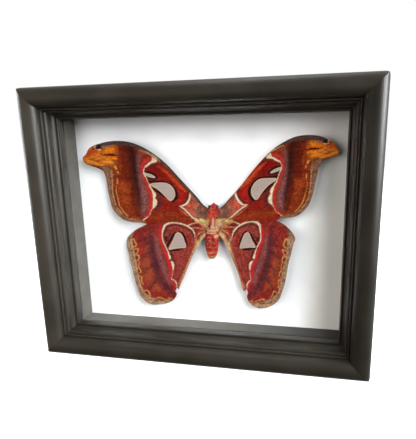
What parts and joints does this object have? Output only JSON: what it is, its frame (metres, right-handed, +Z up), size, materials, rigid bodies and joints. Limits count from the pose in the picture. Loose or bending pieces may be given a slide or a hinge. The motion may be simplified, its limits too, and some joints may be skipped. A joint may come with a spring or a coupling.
{
  "type": "framed moth specimen",
  "caption": "Large dried moth with spread, patterned wings, fixed on a white board behind glass in a deep box frame of dark stepped moulding.",
  "frame": {"origin": "middle of the bounding box's lowest face, on the surface that the lower rail stands on", "axes": "+X to the right along the frame's width, +Y from the glass to the back, +Z up; the glazed front faces -Y"},
  "size_m": [0.31, 0.0606, 0.2524],
  "materials": {
    "frame_paint": "satin near-black brown paint on carved wood moulding",
    "pane": "clear float glass, polished",
    "wall_paint": "dark grey-brown painted spacer strips, dull satin",
    "white_board": "matt white mount board",
    "brown_board": "dull brown pressed fibre board",
    "steel": "bright zinc-plated steel, lightly brushed",
    "body_fur": "dense short red hair with cream bands",
    "wing_scales": "dull powdery scales in rust, maroon, cream and tan with clear windows",
    "antenna_bristle": "dull tan chitin bristles",
    "pin_enamel": "black enamel, glossy"
  },
  "bodies": {
    "root": {"rail_bottom": "frame_paint", "rail_top": "frame_paint", "rail_left": "frame_paint", "rail_right": "frame_paint", "glass": "pane", "wall_bottom": "wall_paint", "wall_top": "wall_paint", "wall_left": "wall_paint", "wall_right": "wall_paint", "backing_board": "white_board", "back_panel": "brown_board", "tab_left_1": "steel", "tab_left_2": "steel", "tab_right_1": "steel", "tab_right_2": "steel", "tab_bottom_1": "steel", "tab_bottom_2": "steel", "tab_top_1": "steel", "tab_top_2": "steel", "hanger": "steel", "hanger_nail_left": "steel", "hanger_nail_right": "steel", "moth_body": "body_fur", "forewing_left": "wing_scales", "forewing_right": "wing_scales", "hindwing_left": "wing_scales", "hindwing_right": "wing_scales", "antenna_left": "antenna_bristle", "antenna_right": "antenna_bristle", "pin_left": "pin_enamel", "pin_right": "pin_enamel"}
  },
  "joints": []
}
